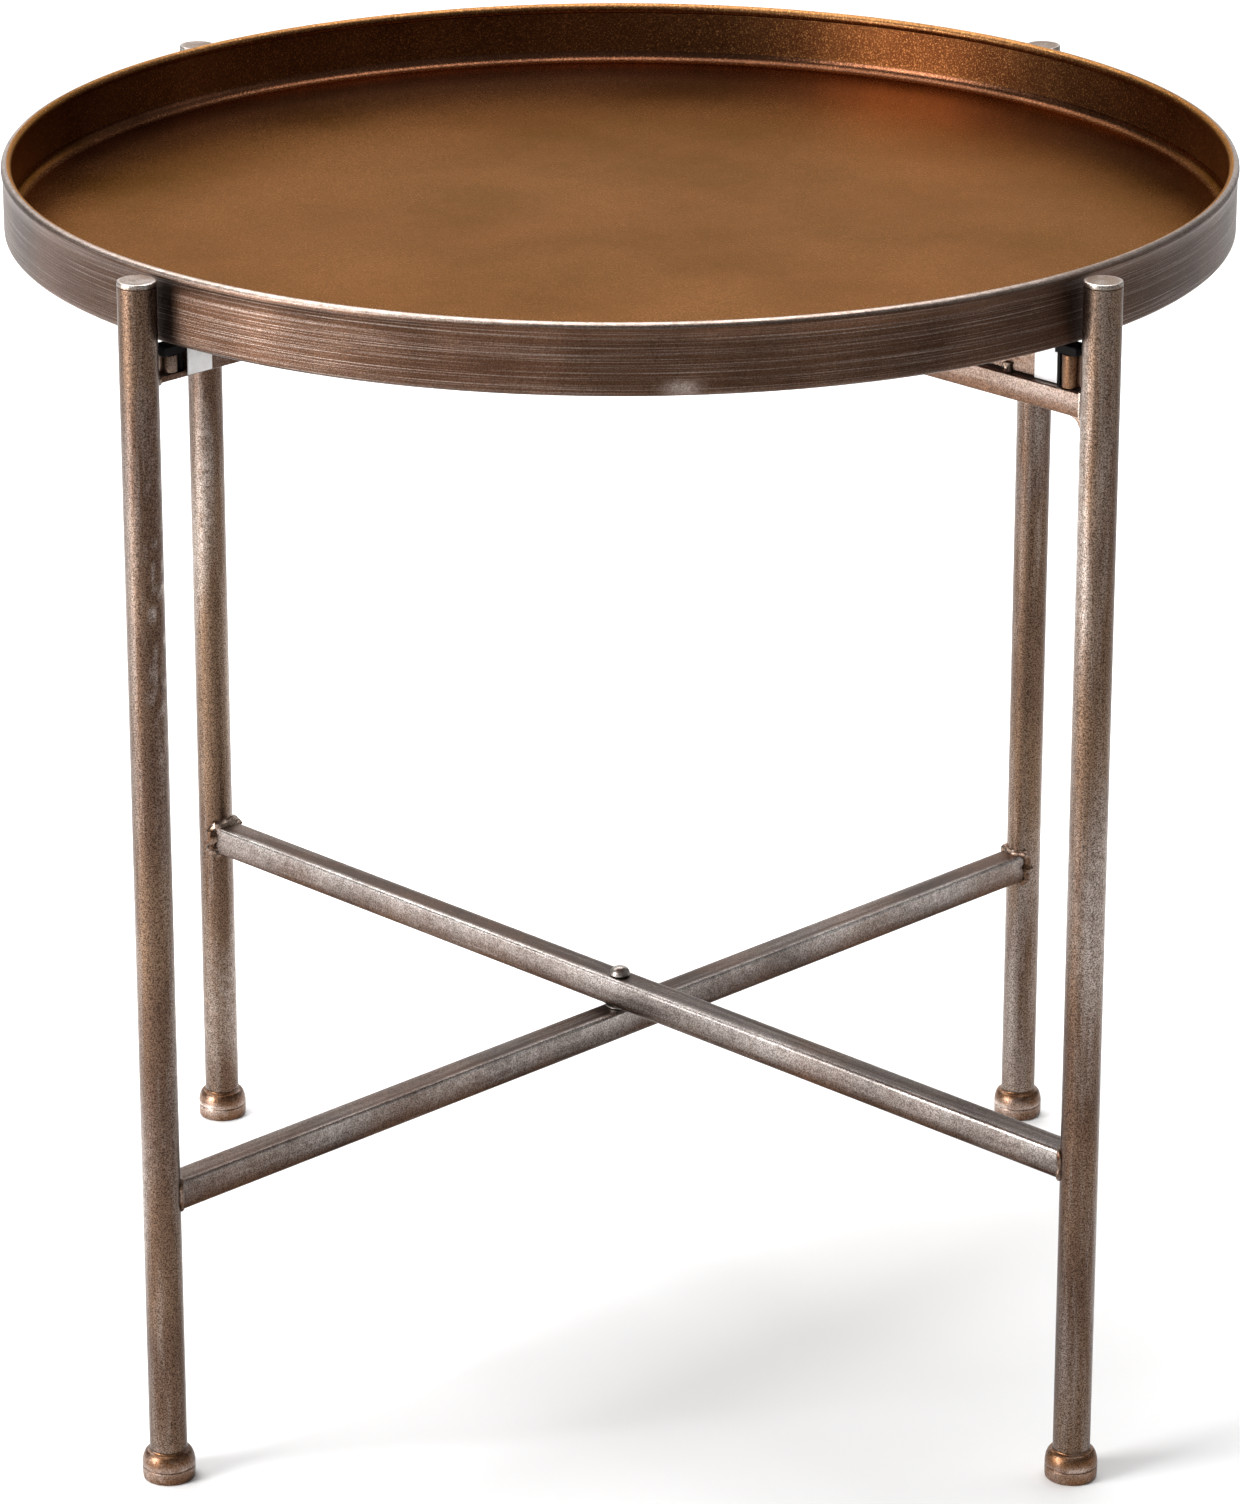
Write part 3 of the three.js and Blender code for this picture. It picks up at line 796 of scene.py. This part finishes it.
def shrunk(outline, size):
    """An outline of (x, z) points, anticlockwise, moved inward all round."""
    points = []
    for here, corner in enumerate(outline):
        normals = []
        after = outline[(here + 1) % len(outline)]
        for start, end in ((outline[here - 1], corner), (corner, after)):
            length = math.dist(start, end)
            normals.append(((start[1] - end[1]) / length, (end[0] - start[0]) / length))
        across = [(one + two) / 2 for one, two in zip(*normals)]
        reach = size / max(0.3, across[0] ** 2 + across[1] ** 2)
        points.append((corner[0] + across[0] * reach, corner[1] + across[1] * reach))
    return points


def block_across(outline, low, high, edge):
    """A block across a bar, made from its anticlockwise (x, z) outline, with eased side edges."""
    count = len(outline)
    vertices = []
    for across, inward in ((low, edge), (low + edge, 0), (high - edge, 0), (high, edge)):
        vertices += [Vector((x, across, z)) for x, z in shrunk(outline, inward)]
    faces = [list(range(count)), [3 * count + here for here in range(count)][::-1]]
    for first in (0, count, 2 * count):
        for here in range(count):
            after = (here + 1) % count
            faces.append([first + here, first + count + here, first + count + after, first + after])
    return vertices, faces


def neck_cutter(top):
    """What is sawn off over the neck at the +X end of bar A."""
    start = leg_circle - NECK_END
    bottom = top - (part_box("upper_bar_a")[1].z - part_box("upper_bar_a")[0].z) + NECK_HEIGHT
    outline = [
        (start, bottom + NECK_CORNER),
        (start + 0.4 * NECK_CORNER, bottom + 0.4 * NECK_CORNER),
        (start + NECK_CORNER, bottom),
        (leg_circle, bottom),
        (leg_circle, top + SAW_OVERLAP),
        (start, top + SAW_OVERLAP),
    ]
    return block_across(outline, -UPPER_WIDTH, UPPER_WIDTH, 0.001)


for letter, turn in (("a", frame_a_turn), ("b", frame_b_turn)):
    low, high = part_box("upper_bar_" + letter)
    bar_shape = length_of_bar(section(UPPER_WIDTH, low.z, high.z, UPPER_CORNER), coped)
    bar_finish = lacquered_steel(
        "lacquered_upper_bar_" + letter, (76, 55, 44), (98, 73, 58), (176, 166, 160), (0.05, 1, 1), turn,
        brushed=0.3,
    )
    bar = make_piece(
        "flat_bar_" + letter, spun(bar_shape, turn), bar_finish, "frame_" + letter,
        ["upper_bar_" + letter],
    )
    upper_wear = bar_wear(turn, high.z, UPPER_WIDTH, 4.0)
    rub(bar, lambda point: 0.35 * upper_wear(point))
    drill(bar, UPPER_HOLE)
    if letter == "a":
        cut_away(bar, spun(neck_cutter(high.z), turn))
        cut_away(bar, spun(neck_cutter(high.z), turn + math.pi))


# Pivot rivets, washer and spacer
# Bare steel rivets, headed cold after the frames were lacquered, with a thin washer between the
# lower bars and a thick one between the upper bars. The upper head is low to clear the tray.

def hammered(shape, depth):
    """A turned shape with the small flats that a hammer leaves."""
    vertices, faces = shape
    beaten_points = []
    for point in vertices:
        dent = depth * (0.5 + 0.5 * noise.noise(point * 330))
        radius = math.hypot(point.x, point.y)
        shrink = 1 - dent / radius if radius > 0.003 else 1
        beaten_points.append(Vector((point.x * shrink, point.y * shrink, point.z)))
    return beaten_points, faces


rivet_finish = bare_steel("headed_rivet", (156, 146, 140), (104, 92, 84))
low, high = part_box("lower_rivet")
bar_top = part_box("lower_bar_b")[1].z + GAP
bar_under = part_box("lower_bar_a")[0].z - GAP
LOWER_HEAD = 0.0046
LOWER_SHANK = 0.003
HEAD_STEPS = 14
HEAD_RISE = 0.0004
HEAD_ROUND = 0.0008
HEAD_POWER = 0.8
quarter_turn = [math.pi / 2 * step / HEAD_STEPS for step in range(1, HEAD_STEPS)]
lower_rivet_outline = [
    (0, low.z),
    (0.0028, low.z),
    (0.0038, low.z + 0.0002),
    (0.0044, low.z + 0.0006),
    (LOWER_HEAD, bar_under),
    (LOWER_SHANK, bar_under),
    (LOWER_SHANK, bar_top),
    (LOWER_HEAD - 0.0003, bar_top),
    (LOWER_HEAD, bar_top + HEAD_RISE),
    *[(LOWER_HEAD * math.cos(angle) ** HEAD_POWER,
       bar_top + HEAD_RISE + (high.z - bar_top - HEAD_RISE) * math.sin(angle))
      for angle in quarter_turn],
    (0, high.z),
]
make_piece(
    "domed_pivot_rivet", hammered(turned(lower_rivet_outline, ROUND_STEPS), 0.0002), rivet_finish, "frame_a",
    ["lower_rivet"],
)

low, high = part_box("upper_rivet")
bar_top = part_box("upper_bar_a")[1].z + GAP
bar_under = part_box("upper_bar_b")[0].z - GAP
UPPER_HEAD = 0.0039
UPPER_SHANK = 0.002
upper_rivet_outline = [
    (0, low.z),
    *[(UPPER_HEAD * math.sin(angle) ** HEAD_POWER, bar_under - (bar_under - low.z) * math.cos(angle))
      for angle in [*quarter_turn, math.pi / 2]],
    (UPPER_SHANK, bar_under),
    (UPPER_SHANK, bar_top),
    (UPPER_HEAD, bar_top),
    (UPPER_HEAD, bar_top + HEAD_RISE),
    *arc(UPPER_HEAD - HEAD_ROUND, high.z - HEAD_ROUND, HEAD_ROUND, 10, 90, 4),
    (0, high.z),
]
make_piece(
    "low_pivot_rivet", hammered(turned(upper_rivet_outline, ROUND_STEPS), 0.0001), rivet_finish, "frame_a",
    ["upper_rivet"],
)

washer_finish = bare_steel("punched_washer", (196, 190, 184), (120, 108, 98))
WASHER_EDGE = 0.00012
for node, hole in (("lower_washer", LOWER_HOLE), ("upper_spacer", UPPER_HOLE)):
    low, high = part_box(node)
    washer_outline = [
        (hole, low.z),
        (high.x - WASHER_EDGE, low.z),
        (high.x, low.z + WASHER_EDGE),
        (high.x, high.z - WASHER_EDGE),
        (high.x - WASHER_EDGE, high.z),
        (hole, high.z),
    ]
    make_piece(
        "punched_" + node, turned(washer_outline, ROUND_STEPS, closed=True), washer_finish, "frame_a",
        [node],
    )


# Risers
# Bar B lies lower than bar A, so a plate is welded on edge along each of its ends to bring it up to
# the same height. Flame cut from strip, with one corner knocked off.

RISER_SPAN = (0.024, 0.086)
RISER_THICKNESS = 0.003
RISER_INSET = 0.0008
RISER_CORNER = 0.0015
RISER_EDGE = 0.0004
RISER_EASE = 0.0005

riser_low, riser_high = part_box("riser_front_right")
riser_far_side = UPPER_WIDTH / 2 - RISER_INSET
riser_middle = riser_far_side - RISER_THICKNESS / 2
near = leg_circle - RISER_SPAN[0]
far = leg_circle - RISER_SPAN[1]
riser_outline = eased(
    [
        (far, riser_low.z),
        (near, riser_low.z),
        (near, riser_high.z),
        (far + RISER_CORNER, riser_high.z),
        (far, riser_high.z - RISER_CORNER),
    ], RISER_EASE,
)
riser_shape = block_across(riser_outline, riser_far_side - RISER_THICKNESS, riser_far_side, RISER_EDGE)
riser_finish = lacquered_steel(
    "lacquered_riser", (80, 59, 47), (106, 80, 63), (190, 180, 174), (0.2, 1, 1), frame_b_turn, brushed=0.3,
)
for corner in ("front_right", "back_left"):
    riser = make_piece(
        "riser_plate_" + corner, spun(riser_shape, corner_turn(corner)), riser_finish, "frame_b",
        ["riser_" + corner],
    )
    rub(riser, lambda point: 0.6 * fade(point.z, riser_high.z - 0.0009, riser_high.z - 0.0001))


# Posts, rubber pads and nylon saddles
# A short round post stands on each end of the upper bars, capped with a black rubber pad that also
# runs down its inner side as a dark strip in place of the shade there. Beside it a white nylon saddle
# is pushed over the bar to carry the tray.

def moulded(name, colour, worn_colour, dull, shine):
    """Moulded rubber or nylon: matt, dusty, with a fine skin."""
    finish, shader = surface(name, 0.0)
    shader.inputs["Specular IOR Level"].default_value = shine
    dust = grain(finish, 0.004, 0.42, 0.7, detail=5.0)
    skin = grain(finish, 0.0005, 0.3, 0.7, detail=2.0)
    feed(finish, shader.inputs["Base Color"], colour_over(finish, dust, paint(*colour), paint(*worn_colour)))
    feed(finish, shader.inputs["Roughness"], between(finish, dust, 0, 1, dull, dull + 0.15))
    emboss(finish, shader, skin, 0.0001, 0.5)
    return finish


# Black rubber for the pads, partly real rubber and partly painted shade: the strip down the post's inner side
# stands in for the shade on that side.
rubber_and_shade_finish = moulded("black_rubber", (8, 6, 6), (20, 16, 14), 0.75, 0.15)
nylon_finish = moulded("white_nylon", (246, 246, 246), (232, 231, 231), 0.4, 0.5)
post_finish = lacquered_steel(
    "lacquered_post", (82, 60, 46), (108, 80, 60), (170, 158, 150), (1, 1, 0.2), brushed=0.35,
)
POST_DISTANCE = 0.0152
POST_RADIUS = 0.004
POST_EDGE = 0.0004
POST_SEGMENTS = 40
PAD_START = 0.0096
PAD_END = 0.0209
PAD_WIDTH = 0.0086
PAD_TOP = 0.0036
PAD_STRIP = 0.0014
PAD_STRIP_WIDTH = 0.0048
PAD_EDGE = 0.0006
TRIM_OVERLAP = 0.001
TRIM_EDGE = 0.0001
SADDLE_START = 0.0214
SADDLE_END = 0.034
SADDLE_SKIN = 0.0011
SADDLE_TOP = 0.001
SADDLE_EDGE = 0.0005


def post_shape(low, high):
    """A round post with eased ends, on the +X end of a bar."""
    outline = [
        (0, low),
        *arc(POST_RADIUS - POST_EDGE, low + POST_EDGE, POST_EDGE, -90, 0, 3),
        *arc(POST_RADIUS - POST_EDGE, high - POST_EDGE, POST_EDGE, 0, 90, 3),
        (0, high),
    ]
    return moved(turned(outline, POST_SEGMENTS), Vector((leg_circle - POST_DISTANCE, 0, 0)))


def pad_and_shade_strip_shape(low, high):
    """A flat black pad over the post, with a lip that runs down on its inner side as painted shade there."""
    inner = leg_circle - PAD_END
    outer = leg_circle - PAD_START
    underside = high - PAD_TOP
    outline = [
        (inner, low),
        (inner + PAD_STRIP, low),
        (inner + PAD_STRIP, underside),
        (outer, underside),
        (outer, high),
        (inner, high),
    ]
    return block_across(eased(outline, PAD_EDGE), -PAD_WIDTH / 2, PAD_WIDTH / 2, PAD_EDGE / 2)


def beside_strip(low, high, side):
    """What is trimmed off beside the pad's strip, on one side of it."""
    start = leg_circle - PAD_END - TRIM_OVERLAP
    stop = leg_circle - PAD_END + PAD_STRIP + TRIM_OVERLAP
    bottom = low - TRIM_OVERLAP
    top = high - PAD_TOP
    near, far = sorted((side * PAD_STRIP_WIDTH / 2, side * PAD_WIDTH))
    return block_across([(start, bottom), (stop, bottom), (stop, top), (start, top)], near, far, TRIM_EDGE)


def saddle_shape(thickness, middle, low, high):
    """A block with a slot in its underside, which straddles a bar or a riser."""
    slot = thickness / 2 + GAP
    side = slot + SADDLE_SKIN
    ceiling = high - SADDLE_TOP
    outline = [
        (middle - side, low),
        (middle - slot, low),
        (middle - slot, ceiling),
        (middle + slot, ceiling),
        (middle + slot, low),
        (middle + side, low),
        (middle + side, high),
        (middle - side, high),
    ]
    start = SADDLE_START - leg_circle
    stop = SADDLE_END - leg_circle
    return spun(block_across(eased(outline, SADDLE_EDGE), start, stop, SADDLE_EDGE / 2), math.pi / 2)


for corner, letter in CORNERS.items():
    turn = corner_turn(corner)
    body = "frame_" + letter
    low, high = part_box("pad_post_" + corner)
    make_piece(
        "round_post_" + corner, spun(post_shape(low.z, high.z), turn), post_finish, body,
        ["pad_post_" + corner],
    )
    low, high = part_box("rubber_pad_" + corner)
    pad = make_piece(
        "black_pad_and_shade_strip_" + corner, spun(pad_and_shade_strip_shape(low.z, high.z), turn), rubber_and_shade_finish, body,
        ["rubber_pad_" + corner],
    )
    cut_away(pad, spun(beside_strip(low.z, high.z, -1), turn))
    cut_away(pad, spun(beside_strip(low.z, high.z, 1), turn))
    low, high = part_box("nylon_saddle_" + corner)
    plate = (UPPER_WIDTH, 0.0) if letter == "a" else (RISER_THICKNESS, riser_middle)
    make_piece(
        "white_saddle_" + corner, spun(saddle_shape(*plate, low.z, high.z), turn), nylon_finish, body,
        ["nylon_saddle_" + corner],
    )


# Welds
# Arc welds join every bar to its legs: a bead runs round the end of each bar, smooth where it was
# dressed and lumpy at the back. The under side of upper bar B has a deep filled corner, and each
# riser is held by tacks. They are lacquered with the frames.

AROUND_BEAD = 12
BEAD_LEAN = Vector((0.31, 0.17, 0.93))


def weld_bead(route, thickness, lumps, seed, closed):
    """Vertices and faces of a rippled bead of weld metal along a route."""
    vertices = []
    faces = []
    count = len(route)
    for here, point in enumerate(route):
        before = route[here - 1] if here or closed else point
        after = route[(here + 1) % count] if here < count - 1 or closed else point
        along = (after - before).normalized()
        side = along.cross(BEAD_LEAN).normalized()
        upward = along.cross(side)
        swell = 1 + lumps * noise.noise(point * 260 + Vector((seed, 0, 0)))
        swell += 0.12 * math.sin(here * 1.9)
        taper = 1.0 if closed else math.sqrt(max(0.08, 1 - (2 * here / (count - 1) - 1) ** 4))
        for step in range(AROUND_BEAD):
            angle = math.tau * step / AROUND_BEAD
            grit = point * 700 + Vector((math.cos(angle), math.sin(angle), seed))
            rough = 1 + 0.5 * lumps * noise.noise(grit)
            reach = thickness * swell * taper * rough
            vertices.append(point + side * math.cos(angle) * reach + upward * math.sin(angle) * reach)
    for here in range(count if closed else count - 1):
        first = here * AROUND_BEAD
        second = (here + 1) % count * AROUND_BEAD
        for step in range(AROUND_BEAD):
            after = (step + 1) % AROUND_BEAD
            faces.append([first + step, first + after, second + after, second + step])
    if not closed:
        faces.append(list(range(AROUND_BEAD))[::-1])
        faces.append([(count - 1) * AROUND_BEAD + step for step in range(AROUND_BEAD)])
    return vertices, faces


BEAD_SPACING = 0.0012


def round_bar_end(width, low, high, corner):
    """The line where the outside of a bar meets the leg at its +X end."""
    columns = section(width, low, high, corner)
    outline = [(y, bottom) for y, bottom, top in columns] + [(y, top) for y, bottom, top in reversed(columns)]
    points = []
    for here, (across, height) in enumerate(outline):
        next_across, next_height = outline[(here + 1) % len(outline)]
        length = math.hypot(next_across - across, next_height - height)
        steps = max(1, round(length / BEAD_SPACING))
        for step in range(steps):
            y = across + (next_across - across) * step / steps
            z = height + (next_height - height) * step / steps
            x = leg_circle - math.sqrt((leg_radius + GAP) ** 2 - y * y)
            points.append(Vector((x, y, z)))
    return points


weld_finish = lacquered_steel(
    "lacquered_weld", (76, 56, 44), (104, 78, 60), (196, 182, 172), (1, 1, 1), brushed=0.45, dull=0.4,
)
LOWER_BEADS = {
    "front_left": (0.0011, 0.5),
    "back_right": (0.0021, 0.9),
    "front_right": (0.0012, 0.5),
    "back_left": (0.0023, 1.0),
}
UPPER_BEAD = (0.0008, 0.4)
LOWER_SEED = 3.7
UPPER_SEED = 5.1
for corner, letter in CORNERS.items():
    turn = corner_turn(corner)
    low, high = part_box("lower_bar_" + letter)
    route = round_bar_end(high.z - low.z, low.z, high.z, LOWER_CORNER)
    bead = weld_bead(route, *LOWER_BEADS[corner], len(corner) * LOWER_SEED, closed=True)
    weld = make_piece("lower_weld_" + corner, spun(bead, turn), weld_finish, "frame_" + letter)
    rub(weld, lambda point: 0.3 * fade(point.z, high.z - 0.001, high.z + 0.0008))
    low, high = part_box("upper_bar_" + letter)
    top = low.z + NECK_HEIGHT if letter == "a" else high.z
    route = round_bar_end(UPPER_WIDTH, low.z, top, UPPER_CORNER)
    bead = weld_bead(route, *UPPER_BEAD, len(corner) * UPPER_SEED, closed=True)
    weld = make_piece("upper_weld_" + corner, spun(bead, turn), weld_finish, "frame_" + letter)
    rub(weld, lambda point: 0.8)

bar_low, bar_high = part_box("upper_bar_b")
FILLED_CORNER = 0.0085
FILLED_STEPS = 12
FILLED_ACROSS = 8
FILLED_OVERLAP = 0.0004
FILLED_STAND = 0.0002
LUMP_HEIGHT = 0.0003


def filled_corner():
    """Weld metal that fills the corner under a bar, hollow on its free side."""
    vertices = []
    faces = []
    for across_step in range(FILLED_ACROSS + 1):
        y = (UPPER_WIDTH / 2 - FILLED_OVERLAP) * (2 * across_step / FILLED_ACROSS - 1)
        leg_face = leg_circle - math.sqrt(leg_radius ** 2 - y * y) + FILLED_OVERLAP
        size = FILLED_CORNER * (1 - 0.25 * (y / UPPER_WIDTH * 2) ** 2)
        vertices.append(Vector((leg_face, y, bar_low.z + FILLED_OVERLAP)))
        for step in range(FILLED_STEPS + 1):
            angle = math.pi / 2 * step / FILLED_STEPS
            x = leg_face - size * (1 - math.cos(angle)) - FILLED_STAND
            z = bar_low.z - size * (1 - math.sin(angle)) + FILLED_STAND
            lump = LUMP_HEIGHT * noise.noise(Vector((x, y, z)) * 400)
            vertices.append(Vector((x - lump, y, z - lump)))
    row = FILLED_STEPS + 2
    for across_step in range(FILLED_ACROSS):
        first = across_step * row
        for step in range(row):
            after = (step + 1) % row
            faces.append([first + step, first + row + step, first + row + after, first + after])
    faces.append(list(range(row)))
    faces.append([FILLED_ACROSS * row + step for step in range(row)][::-1])
    return vertices, faces


def tack_route(distance, top):
    """A short climb up the near side of a riser, at a distance from the leg's centre."""
    x = leg_circle - distance
    face = riser_far_side - RISER_THICKNESS
    points = []
    for step in range(6):
        sway = 0.0004 * math.sin(step)
        points.append(Vector((x + sway, face - 0.0016 + 0.0003 * step, top - 0.0012 + 0.001 * step)))
    return points


TACK_LUMPS = 0.45
TACK_SEED = 2.3
TACKS = ((0.0486, 0.0022), (0.066, 0.0018), (0.082, 0.0018))
for corner in ("front_right", "back_left"):
    turn = corner_turn(corner)
    corner_weld = make_piece(
        "filled_corner_" + corner, spun(filled_corner(), turn), weld_finish, "frame_b",
    )
    rub(corner_weld, lambda point: 0.25)
    for number, (distance, size) in enumerate(TACKS):
        bead = weld_bead(tack_route(distance, bar_high.z), size, TACK_LUMPS, TACK_SEED + number, closed=False)
        tack = make_piece(
            f"riser_tack_{number + 1}_{corner}", spun(bead, turn), weld_finish, "frame_b",
        )
        rub(tack, lambda point: 0.4)


# Studio
# A plain pale floor, soft lights overhead, behind and at either side, and a camera that looks a
# little down on the table from the front.

floor_mesh = bpy.data.meshes.new("studio_floor")
FLOOR_REACH = 30.0
floor_mesh.from_pydata(
    [(-FLOOR_REACH, -FLOOR_REACH, 0), (FLOOR_REACH, -FLOOR_REACH, 0),
     (FLOOR_REACH, FLOOR_REACH, 0), (-FLOOR_REACH, FLOOR_REACH, 0)], [], [(0, 1, 2, 3)],
)
studio_floor = bpy.data.objects.new("studio_floor", floor_mesh)
bpy.context.scene.collection.objects.link(studio_floor)
floor_paper, paper_shader = surface("pale_paper", 0.0)
paper_cloud = grain(floor_paper, 0.6, 0.3, 0.7)
feed(
    floor_paper, paper_shader.inputs["Base Color"],
    colour_over(floor_paper, paper_cloud, (0.86, 0.86, 0.86, 1), (0.88, 0.88, 0.88, 1)),
)
paper_shader.inputs["Roughness"].default_value = 0.9
paper_shader.inputs["Specular IOR Level"].default_value = 0.2
floor_mesh.materials.append(floor_paper)

world = bpy.data.worlds.new("studio_air")
world.use_nodes = True
world.node_tree.nodes["Background"].inputs["Color"].default_value = (1.0, 1.0, 1.0, 1)
world.node_tree.nodes["Background"].inputs["Strength"].default_value = 0.25
bpy.context.scene.world = world

SOFT_LIGHTS = (
    ("overhead", (-0.45, 0.8, 2.3), (-0.4, 0.7, 0), 2.6, 2.8, 131.0),
    ("backdrop", (0.0, 3.4, 1.3), (0, 0, 0.6), 4.4, 2.4, 29.0),
    ("left", (-2.0, -1.1, 0.8), (0, 0, 0.4), 1.0, 1.4, 84.0),
    ("right", (2.6, 0.2, 1.1), (0, 0, 0.4), 0.8, 1.6, 2.0),
)
for name, place, target, width, height, power in SOFT_LIGHTS:
    lamp = bpy.data.lights.new("soft_light_" + name, "AREA")
    lamp.shape = "RECTANGLE"
    lamp.size = width
    lamp.size_y = height
    lamp.energy = power
    light = bpy.data.objects.new("soft_light_" + name, lamp)
    light.location = place
    light.rotation_euler = (Vector(target) - Vector(place)).to_track_quat("-Z", "Y").to_euler()
    light.visible_camera = False
    bpy.context.scene.collection.objects.link(light)

AIM = Vector((0, 0, 0.2547))
CAMERA_DISTANCE = 2.7475
CAMERA_ELEVATION = math.radians(20.4)
camera_data = bpy.data.cameras.new("camera")
camera_data.sensor_width = 36
camera_data.lens = 150.8
camera = bpy.data.objects.new("camera", camera_data)
back = Vector((0, -math.cos(CAMERA_ELEVATION), math.sin(CAMERA_ELEVATION)))
camera.location = AIM + CAMERA_DISTANCE * back
camera.rotation_euler = (-back).to_track_quat("-Z", "Y").to_euler()
bpy.context.scene.collection.objects.link(camera)
bpy.context.scene.camera = camera
bpy.context.scene.view_settings.view_transform = "Standard"
